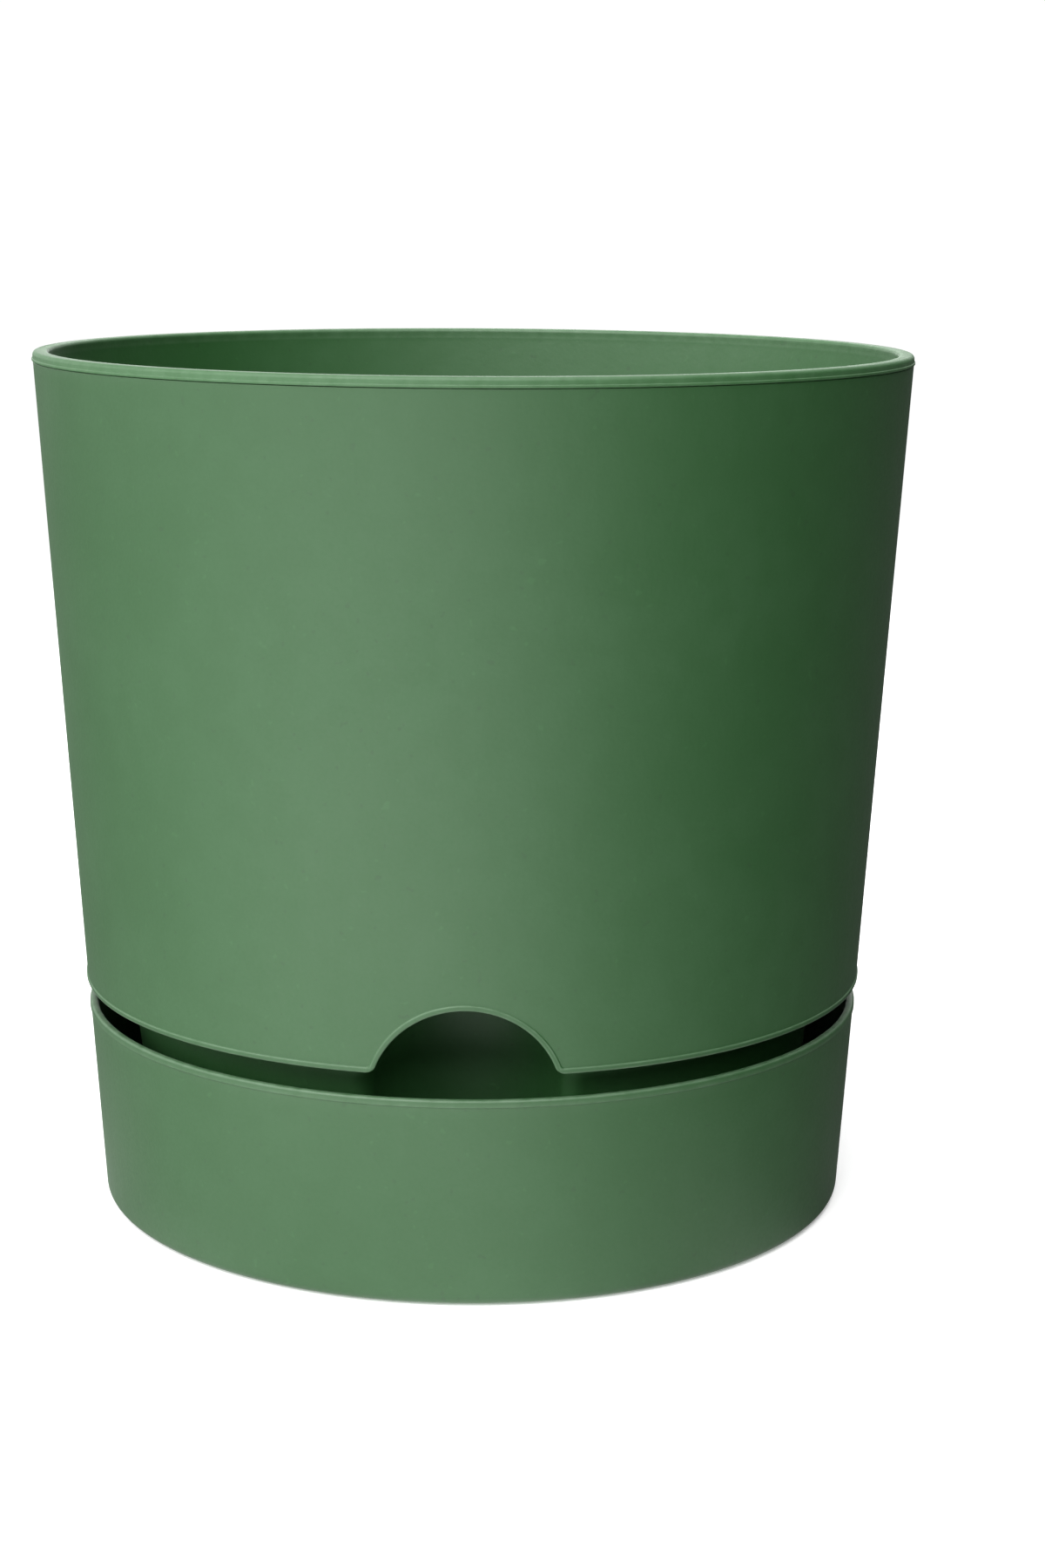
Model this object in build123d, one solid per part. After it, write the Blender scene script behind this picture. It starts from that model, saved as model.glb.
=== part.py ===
from build123d import *
import os
import math

os.makedirs("parts", exist_ok=True)

# Self watering planter: a tapered decorative shell clipped round a planting pot,
# standing in a separate reservoir saucer. Origin: centre of the saucer's base,
# +Z up, watering notch towards -Y. All lengths in millimetres.

# ------------------------------------------------------------ driving dimensions
rim_r = 127.0            # outer radius of the pot's lip
total_h = 250.0          # floor to the top of the lip
lip_w = 4.8              # radial width of the lip
lip_h = 3.2              # height of the lip's outer band
lip_top_t = 1.6          # thickness of the lip's crown
lip_flange_t = 1.1       # thickness of the flange that hooks over the shell

shell_t = 2.3            # wall of the decorative shell
skirt_z = 66.2          # lower edge of the shell
skirt_r = 115.55          # outer radius there
shell_top_r = 126.65     # outer radius just under the lip
tongue_t = 1.4           # thinned top edge of the shell, inside the lip
tongue_h = 1.8
seam = 0.35              # open groove between lip and shell
bead_w = 1.6             # raised bead along the skirt and the notch
bead_h = 0.2

notch_r = 26.0           # watering notch, an arc
notch_z = 58.5           # its centre's height
notch_corner_r = 3.0

pot_seat_z = 6.0         # underside of the planting pot's floor
pot_t = 2.0
pot_floor_t = 2.2
pot_r_46 = 100.3         # outer radius of the planting pot 46 mm above the ground
bay_r = 26.0             # pouring bay moulded into the pot behind the notch
bay_y = -100.0
bay_top_z = 92.0         # where the bay's vertical part turns into its domed roof
bay_corner_r = 3.5       # rounding of its mouth, outside
bay_corner_in_r = 3.0    # and inside

saucer_rim_z = 59.2
saucer_rim_r = 115.05
saucer_base_r = 111.2    # wall line carried down to the ground
saucer_t = 2.3
saucer_lip_h = 2.2
saucer_lip_proud = 0.2
saucer_floor_top = 3.6
foot_r_in = 100.0        # foot ring that the saucer stands on
foot_h = 1.2
rib_n = 8

deck_z = 61.5            # underside of the soil platform
deck_t = 2.0
deck_gap = 0.6           # gap round the platform
leg_r = 6.0
basket_ring_r = 53.0     # the wick baskets' centres
basket_hole_r = 23.0
basket_flange_r = 27.0
basket_flange_t = 1.6
basket_top_r = 22.4
basket_bot_r = 18.0
basket_t = 1.5
basket_gap = 0.8         # basket's base above the pot's floor

# ------------------------------------------------------------ derived lines
lip_z = total_h - lip_h
lip_in_r = rim_r - lip_w
pot_top_r = lip_in_r + pot_t                      # outer face of the pot, under the lip
pot_k = (pot_top_r - pot_r_46) / (lip_z - 46.0)
shell_k = (shell_top_r - skirt_r) / (lip_z - skirt_z)
saucer_k = (saucer_rim_r - saucer_lip_proud - saucer_base_r) / (saucer_rim_z - saucer_lip_h)
floor_top = pot_seat_z + pot_floor_t


def pot_r(z):
    return pot_r_46 + (z - 46.0) * pot_k


def shell_r(z):
    return skirt_r + (z - skirt_z) * shell_k


def saucer_r(z):
    return saucer_base_r + z * saucer_k


# ------------------------------------------------------------ helpers
def turned(points):
    """Solid of revolution about Z from a closed outline of (radius, height, corner radius)."""
    n = len(points)
    ends = []
    for i, (r, z, f) in enumerate(points):
        p = Vector(r, 0, z)
        if f <= 0:
            ends.append((p, p, None))
            continue
        a = Vector(points[i - 1][0], 0, points[i - 1][1])
        b = Vector(points[(i + 1) % n][0], 0, points[(i + 1) % n][1])
        u, v = (a - p).normalized(), (b - p).normalized()
        half = math.acos(max(-1.0, min(1.0, u.dot(v)))) / 2
        d = f / math.tan(half)
        mid_dir = (u + v).normalized()
        centre = p + mid_dir * (f / math.sin(half))
        ends.append((p + u * d, p + v * d, centre - mid_dir * f))
    edges = []
    for i in range(n):
        start, end, mid = ends[i]
        if mid is not None:
            edges.append(Edge.make_three_point_arc(start, mid, end))
        nxt = ends[(i + 1) % n][0]
        if (nxt - end).length > 1e-6:
            edges.append(Edge.make_line(end, nxt))
    return revolve(Face(Wire(edges)), axis=Axis.Z)


def notch_outline(extra):
    """The notch with the open space under the skirt, grown by extra, drawn in X and Z."""
    bar_h = 30.0
    outline = Pos(0, skirt_z + extra - bar_h / 2) * Rectangle(400, bar_h) + Pos(0, notch_z) * Circle(
        notch_r + extra
    )
    x = math.sqrt((notch_r + extra) ** 2 - (skirt_z + extra - notch_z) ** 2)
    corners = [v for v in outline.vertices() if abs(abs(v.X) - x) < 0.01 and abs(v.Y - skirt_z - extra) < 0.01]
    return fillet(corners, notch_corner_r - extra)


def through_front(outline):
    """The outline carried through the front wall, towards -Y."""
    return Pos(0, -60, 0) * extrude(Plane.XZ * outline, 90)


def around(shape, count, start=0.0):
    return [Rot(0, 0, start + i * 360.0 / count) * shape for i in range(count)]


# ------------------------------------------------------------ reservoir saucer
# Outer wall, foot ring, floor and rounded rim are one moulding.
rim_in = saucer_rim_r - saucer_t
saucer = turned([
    (0, foot_h, 0),
    (foot_r_in - foot_h, foot_h, 0),
    (foot_r_in, 0, 0),
    (saucer_base_r, 0, 2.4),
    (saucer_r(saucer_rim_z - saucer_lip_h), saucer_rim_z - saucer_lip_h, 0),
    (saucer_rim_r, saucer_rim_z - saucer_lip_h + 0.2, 0),
    (saucer_rim_r, saucer_rim_z, 1.1),
    (rim_in, saucer_rim_z, 1.1),
    (rim_in - 0.12, saucer_rim_z - saucer_lip_h, 0),
    (saucer_base_r - saucer_t - 0.1, saucer_floor_top, 4.0),
    (0, saucer_floor_top, 0),
])
# Radial ribs lift the pot off the floor, so water runs under it.
rib = Pos(61, 0, (saucer_floor_top - 0.5 + pot_seat_z) / 2) * Box(62, 2.4, pot_seat_z - saucer_floor_top + 0.5)
saucer += around(rib, rib_n, 22.5)
# Eight lugs centre the pot's foot.
lug_in = pot_r(13.0) + 0.5
lug = Pos((lug_in + 100.5) / 2, 0, (saucer_floor_top - 0.5 + 13.0) / 2) * Box(
    100.5 - lug_in, 2.4, 13.0 - saucer_floor_top + 0.5
)
saucer += around(lug, rib_n, 22.5)

# ------------------------------------------------------------ planting pot (inner pot)
def bay(r):
    """Upright half-round bay with a domed roof, as the space it takes out of the pot."""
    return Pos(0, bay_y, (bay_top_z - 10) / 2) * Cylinder(r, bay_top_z + 10) + Pos(0, bay_y, bay_top_z) * Sphere(r)



body = turned([
    (0, pot_seat_z, 0),
    (pot_r(pot_seat_z), pot_seat_z, 4.0),
    (pot_r(lip_z + lip_h - lip_top_t), lip_z + lip_h - lip_top_t, 0),
    (rim_r - lip_flange_t, total_h - lip_top_t, 0),
    (rim_r - lip_flange_t, lip_z, 0.3),
    (rim_r, lip_z, 0.35),
    (rim_r, total_h, 1.9),
    (lip_in_r, total_h, 1.7),
    (lip_in_r, total_h - 2.2, 0),
    (0, total_h - 2.2, 0),
])
body -= bay(bay_r)


def bay_edges(shape, z_low):
    """The two upright edges and the arched one where the bay meets the pot's wall."""
    picked = []
    for e in shape.edges():
        c = e.center()
        if c.Y < -80 and z_low < c.Z < 150 and abs(c.X) < 40 and e.length > 20 and e.geom_type != GeomType.CIRCLE:
            picked.append(e)
    return picked


body_edges = bay_edges(body, pot_seat_z + 5)
print("bay edges outside", len(body_edges))
body = fillet(body_edges, bay_corner_r)

space = turned([
    (0, floor_top, 0),
    (pot_r(floor_top) - pot_t, floor_top, 3.0),
    (lip_in_r, lip_z + 0.6, 0),
    (lip_in_r, total_h + 5, 0),
    (0, total_h + 5, 0),
])
space -= bay(bay_r + pot_t)
space_edges = bay_edges(space, floor_top + 5)
print("bay edges inside", len(space_edges))
space = fillet(space_edges, bay_corner_in_r)
inner_pot = body - space

# Water inlets: upright slots low in the wall, and round holes in the floor.
inlet = Pos(pot_r(16), 0, 0) * (
    Pos(0, 0, 16) * Box(16, 5, 8)
    + Pos(0, 0, 12) * Rot(0, 90, 0) * Cylinder(2.5, 16)
    + Pos(0, 0, 20) * Rot(0, 90, 0) * Cylinder(2.5, 16)
)
for a in range(-60, 241, 20):
    if a in (0, 180) or -110 < (a if a < 180 else a - 360) < -65 or a in (-60, 240):
        continue
    inner_pot -= Rot(0, 0, a) * inlet
bay_inlet = Pos(0, bay_y + bay_r + 1, 0) * (
    Pos(0, 0, 16) * Box(5, 10, 8)
    + Pos(0, 0, 12) * Rot(90, 0, 0) * Cylinder(2.5, 10)
    + Pos(0, 0, 20) * Rot(90, 0, 0) * Cylinder(2.5, 10)
)
inner_pot -= bay_inlet
floor_hole = Cylinder(4.0, 8)
for a in range(0, 360, 45):
    if a != 270:
        inner_pot -= Pos(78 * math.cos(math.radians(a)), 78 * math.sin(math.radians(a)), pot_seat_z + 1) * floor_hole
for a in range(0, 360, 90):
    inner_pot -= Pos(30 * math.cos(math.radians(a)), 30 * math.sin(math.radians(a)), pot_seat_z + 1) * floor_hole

# Six wedge hooks under the lip hold the decorative shell up.
hook_top = lip_z - 6.0
hook_r = shell_r(hook_top) - shell_t + 1.0
hook_ring = turned([
    (pot_r(hook_top - 5) - 0.6, hook_top - 5, 0),
    (hook_r, hook_top - 1.2, 0),
    (hook_r, hook_top, 0),
    (pot_r(hook_top) - 0.6, hook_top, 0),
])
sector = Pos(rim_r - 3, 0, hook_top - 2) * Box(16, 12, 12)
hooks = [hook_ring & s for s in around(sector, 6, 30)]
for h in hooks:
    inner_pot += h

# ------------------------------------------------------------ decorative outer shell
shoulder_z = lip_z - seam
tongue_in = rim_r - lip_flange_t - 0.1 - tongue_t
outer_shell = turned([
    (shell_r(skirt_z) - shell_t, skirt_z, 0.5),
    (shell_r(skirt_z), skirt_z, 0),
    (shell_r(shoulder_z), shoulder_z, 0.3),
    (rim_r - lip_flange_t - 0.1, shoulder_z, 0),
    (rim_r - lip_flange_t - 0.1, shoulder_z + tongue_h, 0.3),
    (tongue_in, shoulder_z + tongue_h, 0.3),
    (tongue_in, shoulder_z, 0),
    (shell_r(shoulder_z - 1.2) - shell_t, shoulder_z - 1.2, 0),
])
# A fine raised bead follows the skirt's lower edge and runs up round the notch.
layer = turned([
    (shell_r(skirt_z) - 1.0, skirt_z, 0),
    (shell_r(skirt_z) + bead_h, skirt_z, 0),
    (shell_r(100) + bead_h, 100, 0),
    (shell_r(100) - 1.0, 100, 0),
])
band = through_front(notch_outline(bead_w)) + Pos(0, 0, skirt_z + bead_w - 10) * Cylinder(140, 20)
outer_shell += layer & band
outer_shell -= through_front(notch_outline(0.0))
# Pockets inside the wall for the pot's hooks.
pocket_r = hook_r + 0.2
pocket_ring = turned([
    (shell_r(hook_top) - shell_t - 3, hook_top - 6, 0),
    (pocket_r, hook_top - 6, 0),
    (pocket_r, hook_top + 0.1, 0),
    (shell_r(hook_top) - shell_t - 3, hook_top + 0.1, 0),
])
sector = Pos(rim_r - 3, 0, hook_top - 2) * Box(16, 12.8, 12)
for s in around(sector, 6, 30):
    outer_shell -= pocket_ring & s

# ------------------------------------------------------------ soil platform
deck_r_low = pot_r(deck_z) - pot_t - deck_gap
deck = turned([
    (0, deck_z, 0),
    (deck_r_low, deck_z, 0),
    (deck_r_low + 4.0 * pot_k, deck_z + 4.0, 0.5),
    (deck_r_low + 4.0 * pot_k - 1.8, deck_z + 4.0, 0.5),
    (deck_r_low - 1.8, deck_z + deck_t, 0.6),
    (0, deck_z + deck_t, 0),
])
# The platform clears the pouring bay, with an upstand round the cut-out.
upstand = Pos(0, bay_y, deck_z + 2.0) * Cylinder(bay_r + pot_t + deck_gap + 1.8, 4.0)
deck += upstand & turned([(0, deck_z, 0), (deck_r_low, deck_z, 0), (deck_r_low + 4.0 * pot_k, deck_z + 4.0, 0), (0, deck_z + 4.0, 0)])
deck -= Pos(0, bay_y, deck_z) * Cylinder(bay_r + pot_t + deck_gap, 40)
corner_x = 30.5
for sx in (-1, 1):
    deck -= Pos(sx * (corner_x + 2.5), -96.5, deck_z) * Rot(0, 0, sx * 20) * Box(12, 8.5, 40)
basket_xy = [
    (basket_ring_r * math.cos(math.radians(a)), basket_ring_r * math.sin(math.radians(a))) for a in (210, 330, 90)
]
leg_xy = [(0.0, 0.0)] + [
    (r * math.cos(math.radians(a)), r * math.sin(math.radians(a))) for r, a in ((76, 30), (76, 150), (80, 240), (80, 300))
]
for x, y in basket_xy:
    deck -= Pos(x, y, deck_z) * Cylinder(basket_hole_r, 20)
leg_h = deck_z - floor_top + 0.5
for x, y in leg_xy:
    deck += Pos(x, y, floor_top + leg_h / 2) * Cylinder(leg_r, leg_h)
# Stiffening ribs under the platform, from leg to leg.
for a, b in ((1, 2), (3, 4), (0, 1), (0, 2), (0, 3), (0, 4)):
    (xa, ya), (xb, yb) = leg_xy[a], leg_xy[b]
    mid = ((xa + xb) / 2, (ya + yb) / 2)
    if any(math.hypot(mid[0] - x, mid[1] - y) < basket_hole_r + 4 for x, y in basket_xy):
        continue
    length = math.hypot(xb - xa, yb - ya)
    turn = math.degrees(math.atan2(yb - ya, xb - xa))
    if any(
        abs((x - xa) * (yb - ya) - (y - ya) * (xb - xa)) / length < basket_hole_r + 2
        and min(xa, xb) - 20 < x < max(xa, xb) + 20 and min(ya, yb) - 20 < y < max(ya, yb) + 20
        for x, y in basket_xy
    ):
        continue
    deck += Pos(mid[0], mid[1], deck_z - 2.0) * Rot(0, 0, turn) * Box(length, 1.6, 5.0)
for x, y in leg_xy:
    deck -= Pos(x, y, floor_top + (leg_h - 2) / 2 - 0.5) * Cylinder(leg_r - 1.6, leg_h - 2)
# Drain holes on rings.
drain = []
for ring_r, count in ((18, 8), (30, 12), (78, 32), (88, 40), (94, 44)):
    for i in range(count):
        a = 2 * math.pi * (i + 0.5) / count
        x, y = ring_r * math.cos(a), ring_r * math.sin(a)
        if math.hypot(x, y - bay_y) < bay_r + pot_t + 7:
            continue
        if any(math.hypot(x - bx, y - by) < basket_flange_r + 3 for bx, by in basket_xy):
            continue
        if any(math.hypot(x - lx, y - ly) < leg_r + 4 for lx, ly in leg_xy):
            continue
        drain.append(Pos(x, y, deck_z + 1) * Cylinder(1.9, 12))
print("drain holes", len(drain))
soil_platform = deck - drain

# ------------------------------------------------------------ wick baskets
deck_top = deck_z + deck_t
basket_z = floor_top + basket_gap
cup = turned([
    (0, basket_z, 0),
    (basket_bot_r, basket_z, 1.6),
    (basket_top_r, deck_top, 0),
    (basket_flange_r, deck_top, 0),
    (basket_flange_r, deck_top + basket_flange_t, 0.6),
    (basket_top_r - basket_t, deck_top + basket_flange_t, 0.6),
    (basket_bot_r - basket_t, basket_z + basket_t, 1.0),
    (0, basket_z + basket_t, 0),
])
slot_z0, slot_z1 = basket_z + 5.0, deck_z - 10.0
slot = Pos(basket_bot_r + 1, 0, (slot_z0 + slot_z1) / 2) * Box(14, 2.4, slot_z1 - slot_z0)
cup -= around(slot, 12)
cup -= [Pos(0, 0, basket_z) * Cylinder(2.5, 8)] + around(Pos(10.5, 0, basket_z) * Cylinder(2.2, 8), 6)

# ------------------------------------------------------------ write the pieces
pieces = {
    "reservoir_saucer": saucer,
    "inner_pot": inner_pot,
    "outer_shell": outer_shell,
    "soil_platform": soil_platform,
}
for name, (x, y) in zip(("wick_basket_left", "wick_basket_right", "wick_basket_rear"), basket_xy):
    pieces[name] = Pos(x, y, 0) * cup
for name, piece in pieces.items():
    solids = piece.solids()
    print(name, len(solids), round(sum(s.volume for s in solids)), piece.bounding_box())
    whole = solids[0] if len(solids) == 1 else Compound(children=list(solids))
    export_step(whole, f"parts/{name}.step")
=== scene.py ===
import bpy, bmesh, math
import numpy as np
from mathutils import Matrix, Vector


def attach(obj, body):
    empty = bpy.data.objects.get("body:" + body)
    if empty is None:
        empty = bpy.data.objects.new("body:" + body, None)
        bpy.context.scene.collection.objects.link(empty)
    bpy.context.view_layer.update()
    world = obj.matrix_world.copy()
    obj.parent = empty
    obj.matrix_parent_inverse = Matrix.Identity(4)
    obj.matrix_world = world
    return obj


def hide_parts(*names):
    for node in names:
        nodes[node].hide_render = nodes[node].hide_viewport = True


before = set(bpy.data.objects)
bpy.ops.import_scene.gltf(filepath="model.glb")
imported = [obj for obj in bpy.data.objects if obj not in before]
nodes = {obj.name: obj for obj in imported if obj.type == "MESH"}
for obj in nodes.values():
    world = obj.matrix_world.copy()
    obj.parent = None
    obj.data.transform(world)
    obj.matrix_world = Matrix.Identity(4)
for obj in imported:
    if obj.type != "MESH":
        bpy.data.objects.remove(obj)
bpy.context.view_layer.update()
MM = 0.001

# ------------------------------------------------------------------ dimensions, as in the CAD (mm)
RIM_R, TOTAL_H, LIP_W, LIP_H, LIP_TOP_T, LIP_FLANGE_T = 127.0, 250.0, 4.8, 2.8, 1.6, 1.1
SHELL_T, SKIRT_Z, SKIRT_R, SHELL_TOP_R = 2.3, 66.0, 115.55, 126.65
TONGUE_T, TONGUE_H, SEAM, BEAD_W, BEAD_H = 1.4, 1.2, 0.09, 1.6, 0.36
NOTCH_R, NOTCH_Z, NOTCH_CORNER = 25.5, 58.75, 3.0
SEAT_Z, POT_T, FLOOR_T, POT_R46 = 6.0, 2.0, 2.2, 100.3
BAY_R, BAY_Y, BAY_TOP, BAY_CORNER, BAY_CORNER_IN = 26.0, -100.0, 92.0, 5.0, 3.0
SAUCER_RIM_Z, SAUCER_RIM_R, SAUCER_BASE_R, SAUCER_T = 59.2, 115.05, 111.2, 2.3
SAUCER_LIP_H, SAUCER_PROUD, SAUCER_FLOOR, FOOT_R, FOOT_H = 2.2, 0.2, 3.6, 100.0, 1.2

LIP_Z = TOTAL_H - LIP_H
LIP_IN_R = RIM_R - LIP_W
POT_K = (LIP_IN_R + POT_T - POT_R46) / (LIP_Z - 46.0)
SHELL_K = (SHELL_TOP_R - SKIRT_R) / (LIP_Z - SKIRT_Z)
SAUCER_K = (SAUCER_RIM_R - SAUCER_PROUD - SAUCER_BASE_R) / (SAUCER_RIM_Z - SAUCER_LIP_H)
FLOOR_TOP = SEAT_Z + FLOOR_T


def pot_r(z):
    return POT_R46 + (z - 46.0) * POT_K


def shell_r(z):
    return SKIRT_R + (z - SKIRT_Z) * SHELL_K


def saucer_r(z):
    return SAUCER_BASE_R + z * SAUCER_K


# ------------------------------------------------------------------ mesh helpers
def rounded(points, steps=6):
    """An open or closed outline of (r, z, corner radius) as a list of points, its corners turned into arcs."""
    n, out = len(points), []
    for i, (r, z, f) in enumerate(points):
        p = np.array([r, z], float)
        if f <= 0:
            out.append(p)
            continue
        a, b = np.array(points[i - 1][:2], float), np.array(points[(i + 1) % n][:2], float)
        u, v = (a - p) / np.linalg.norm(a - p), (b - p) / np.linalg.norm(b - p)
        half = math.acos(max(-1, min(1, float(u @ v)))) / 2
        d = f / math.tan(half)
        m = (u + v) / np.linalg.norm(u + v)
        c = p + m * f / math.sin(half)
        s, e = p + u * d - c, p + v * d - c
        a0, a1 = math.atan2(s[1], s[0]), math.atan2(e[1], e[0])
        while a1 - a0 > math.pi:
            a1 -= 2 * math.pi
        while a1 - a0 < -math.pi:
            a1 += 2 * math.pi
        k = max(3, int(steps * abs(a1 - a0) / (math.pi / 2)) + 1)
        out += [c + f * np.array([math.cos(t), math.sin(t)]) for t in np.linspace(a0, a1, k)]
    return out


def densify(pts, step, closed=False):
    """Adds points so that no run is longer than step."""
    out = []
    n = len(pts)
    for i in range(n if closed else n - 1):
        a, b = pts[i], pts[(i + 1) % n]
        k = max(1, int(math.ceil(np.linalg.norm(np.array(b) - np.array(a)) / step)))
        out += [np.array(a) + (np.array(b) - np.array(a)) * t / k for t in range(k)]
    if not closed:
        out.append(np.array(pts[-1]))
    return out


def make_object(name, verts, faces):
    me = bpy.data.meshes.new(name)
    me.from_pydata([tuple(float(c) * MM for c in v) for v in verts], [], [tuple(f) for f in faces])
    me.update()
    ob = bpy.data.objects.new(name, me)
    bpy.context.scene.collection.objects.link(ob)
    bm = bmesh.new()
    bm.from_mesh(me)
    bmesh.ops.remove_doubles(bm, verts=bm.verts, dist=1e-7)
    bmesh.ops.dissolve_degenerate(bm, edges=bm.edges, dist=1e-8)
    bmesh.ops.recalc_face_normals(bm, faces=bm.faces)
    bm.to_mesh(me)
    bm.free()
    return ob


def loops_to_faces(n_loops, n_cols, close_rows):
    faces = []
    last = n_loops if close_rows else n_loops - 1
    for i in range(last):
        a, b = i * n_cols, ((i + 1) % n_loops) * n_cols
        for j in range(n_cols):
            k = (j + 1) % n_cols
            faces.append((a + j, a + k, b + k, b + j))
    return faces


def lathe(name, outline, segments):
    """Turns a closed outline about Z. Points on the axis become poles."""
    verts, faces, rows = [], [], []
    ang = np.linspace(0, 2 * math.pi, segments, endpoint=False)
    for r, z in outline:
        if r < 1e-6:
            rows.append([len(verts)] * segments)
            verts.append((0, 0, z))
        else:
            rows.append(list(range(len(verts), len(verts) + segments)))
            verts += [(r * math.cos(t), r * math.sin(t), z) for t in ang]
    n = len(rows)
    for i in range(n):
        a, b = rows[i], rows[(i + 1) % n]
        if len(set(a)) == 1 and len(set(b)) == 1:
            continue
        for j in range(segments):
            k = (j + 1) % segments
            f = []
            for v in (a[j], a[k], b[k], b[j]):
                if v not in f:
                    f.append(v)
            faces.append(f)
    return make_object(name, verts, faces)


def smooth(ob, degrees=35):
    me = ob.data
    me.polygons.foreach_set("use_smooth", [True] * len(me.polygons))
    me.set_sharp_from_angle(angle=math.radians(degrees))
    me.update()


def mark_painted_highlights(ob, weight):
    """Stores how much painted highlight each vertex gets, 0 to 1, as a float point attribute for the material. weight
    takes (x, y, z) in mm.
    """
    me = ob.data
    co = np.zeros(len(me.vertices) * 3)
    me.vertices.foreach_get("co", co)
    co = co.reshape(-1, 3) / MM
    attr = me.attributes.new("edge_highlight", "FLOAT", "POINT")
    attr.data.foreach_set("value", np.clip(weight(co), 0.0, 1.0).astype(np.float32))


def apply_boolean(ob, cutter, operation):
    m = ob.modifiers.new("cut", "BOOLEAN")
    m.operation, m.solver, m.object = operation, "EXACT", cutter
    dg = bpy.context.evaluated_depsgraph_get()
    me = bpy.data.meshes.new_from_object(ob.evaluated_get(dg))
    ob.modifiers.clear()
    old = ob.data
    ob.data = me
    me.name = old.name
    bpy.data.meshes.remove(old)
    bpy.data.objects.remove(cutter)


def tidy(ob):
    """Closes the slivers that a boolean leaves."""
    bm = bmesh.new()
    bm.from_mesh(ob.data)
    bmesh.ops.remove_doubles(bm, verts=bm.verts, dist=3e-6)
    bmesh.ops.dissolve_degenerate(bm, edges=bm.edges, dist=2e-6)
    bmesh.ops.triangulate(bm, faces=[f for f in bm.faces if len(f.verts) > 4])
    bmesh.ops.remove_doubles(bm, verts=bm.verts, dist=3e-6)
    print("TIDY", ob.name, "open or crossed edges:", sum(1 for e in bm.edges if len(e.link_faces) != 2))
    bm.to_mesh(ob.data)
    bm.free()


def joined(name, parts):
    """Several (verts, faces) as one mesh object."""
    verts, faces = [], []
    for v, f in parts:
        o = len(verts)
        verts += list(v)
        faces += [[i + o for i in q] for q in f]
    return make_object(name, verts, faces)


def prism(outline, base, direction):
    """A closed 2-D outline of 3-D points, carried along a direction, as (verts, faces)."""
    n = len(outline)
    verts = [tuple(np.array(p) + base) for p in outline] + [tuple(np.array(p) + base + direction) for p in outline]
    faces = [list(range(n))[::-1], list(range(n, 2 * n))] + [[i, (i + 1) % n, n + (i + 1) % n, n + i] for i in range(n)]
    return verts, faces


# ------------------------------------------------------------------ outer shell
def shell_columns():
    """The lower edge of the shell in (x, z) with the direction into the wall, from left of the notch to right of it, then round the back by angle."""
    fz, fx = SKIRT_Z + NOTCH_CORNER, 0.0
    fx = math.sqrt((NOTCH_R + NOTCH_CORNER) ** 2 - (fz - NOTCH_Z) ** 2)
    touch = math.atan2(fx, fz - NOTCH_Z)
    half = []
    for t in np.linspace(0, touch, 92)[1:]:
        half.append((NOTCH_R * math.sin(t), NOTCH_Z + NOTCH_R * math.cos(t), math.sin(t), math.cos(t)))
    a0 = math.atan2(-math.cos(touch), -math.sin(touch))
    for t in np.linspace(a0, -math.pi / 2, 15)[1:]:
        half.append((fx + NOTCH_CORNER * math.cos(t), fz + NOTCH_CORNER * math.sin(t), -math.cos(t), -math.sin(t)))
    x = fx
    step = 0.35
    while x < 60:
        step = min(1.6, step * 1.12)
        x = min(60.0, x + step)
        half.append((x, SKIRT_Z, 0.0, 1.0))
    front = [(-x, z, -a, b) for x, z, a, b in half[::-1]] + [(0.0, NOTCH_Z + NOTCH_R, 0.0, 1.0)] + half
    edge = math.asin(60.0 / shell_r(SKIRT_Z))
    back = np.linspace(edge, 2 * math.pi - edge, 400)[1:-1]
    return front, back


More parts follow.
